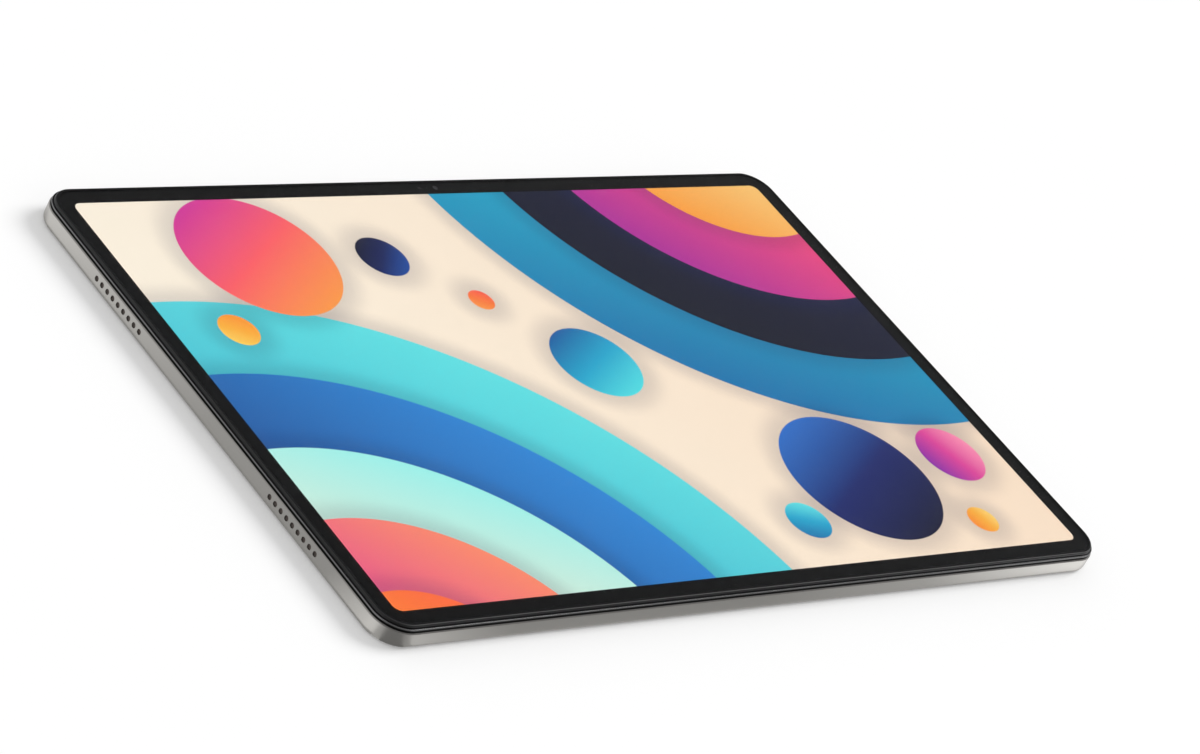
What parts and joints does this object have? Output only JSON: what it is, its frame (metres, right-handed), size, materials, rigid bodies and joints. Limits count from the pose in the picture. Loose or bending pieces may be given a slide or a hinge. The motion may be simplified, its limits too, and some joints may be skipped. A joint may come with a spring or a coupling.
{
  "type": "tablet computer",
  "caption": "Thin rounded slab with a glass touch screen in a dark border, a satin metal shell, side keys, a card tray and rows of speaker holes in both short edges.",
  "frame": {"origin": "middle of the flat back face", "axes": "+X along the long side to the viewer's right, +Y towards the edge with the front camera, +Z out of the screen"},
  "size_m": [0.2674, 0.1677, 0.0069],
  "materials": {
    "anodised_aluminium": "satin bead-blasted anodised",
    "plate_aluminium": "stamped sheet",
    "cover_glass": "polished, with a black printed border",
    "lens_glass": "polished",
    "black_plastic": "satin moulded",
    "grey_plastic": "satin moulded",
    "adhesive": "foam tape",
    "lcd_panel": "lit panel",
    "optical_film": "diffusing film",
    "acrylic": "clear sheet",
    "lamp_resin": "phosphor resin",
    "stainless_steel": "stamped",
    "tinned_steel": "tinned sheet",
    "graphite": "rolled sheet",
    "cell_wrap": "laminated pouch",
    "circuit_board": "solder mask",
    "chip_resin": "moulded resin",
    "ribbon_film": "amber film",
    "antenna_copper": "etched foil"
  },
  "bodies": {
    "tablet": {"antenna_left": "antenna_copper", "antenna_right": "antenna_copper", "antenna_window": "grey_plastic", "backlight_tray": "stainless_steel", "battery_board": "circuit_board", "battery_lead": "ribbon_film", "battery_left": "cell_wrap", "battery_right": "cell_wrap", "card_reader": "stainless_steel", "cover_glass": "cover_glass", "diffuser_sheet": "optical_film", "display_flex": "ribbon_film", "display_frame": "black_plastic", "display_panel": "lcd_panel", "flash_led": "lamp_resin", "flash_lens": "lens_glass", "front_camera": "black_plastic", "glass_adhesive": "adhesive", "graphite_sheet": "graphite", "key_bracket": "stainless_steel", "key_flex": "ribbon_film", "led_strip": "lamp_resin", "light_guide": "acrylic", "light_sensor": "chip_resin", "main_board": "circuit_board", "main_flex": "ribbon_film", "microphone_left": "tinned_steel", "microphone_right": "tinned_steel", "power_switch": "black_plastic", "processor": "chip_resin", "processor_shield": "tinned_steel", "radio_shield": "tinned_steel", "rear_camera": "black_plastic", "rear_camera_lens": "lens_glass", "rear_camera_ring": "anodised_aluminium", "rear_housing": "anodised_aluminium", "screw_board_left_lower": "stainless_steel", "screw_board_left_upper": "stainless_steel", "screw_board_right_lower": "stainless_steel", "screw_board_right_upper": "stainless_steel", "screw_usb_lower": "stainless_steel", "screw_usb_upper": "stainless_steel", "speaker_left_lower": "black_plastic", "speaker_left_upper": "black_plastic", "speaker_mesh_left_lower": "stainless_steel", "speaker_mesh_left_upper": "stainless_steel", "speaker_mesh_right_lower": "stainless_steel", "speaker_mesh_right_upper": "stainless_steel", "speaker_right_lower": "black_plastic", "speaker_right_upper": "black_plastic", "support_plate": "plate_aluminium", "usb_board": "circuit_board", "usb_shell": "stainless_steel", "usb_tongue": "black_plastic", "volume_down_switch": "black_plastic", "volume_up_switch": "black_plastic"},
    "power_button": {"power_button": "anodised_aluminium"},
    "volume_rocker": {"volume_rocker": "anodised_aluminium"},
    "card_tray": {"card_tray": "anodised_aluminium"}
  },
  "joints": [
    {"name": "power_press", "type": "slide", "parent": "tablet", "child": "power_button", "axis": [0, -1, 0], "range_m": [0, 0.0003], "stiffness_N_per_m": 200},
    {"name": "volume_rock", "type": "hinge", "parent": "tablet", "child": "volume_rocker", "pos_m": [-0.07565, 0.0812, 0.00295], "axis": [0, 0, 1], "range_deg": [-1.2, 1.2], "stiffness_Nm_per_rad": 0.01},
    {"name": "tray_slide", "type": "slide", "parent": "tablet", "child": "card_tray", "axis": [0, 1, 0], "range_m": [0, 0.0185]}
  ]
}
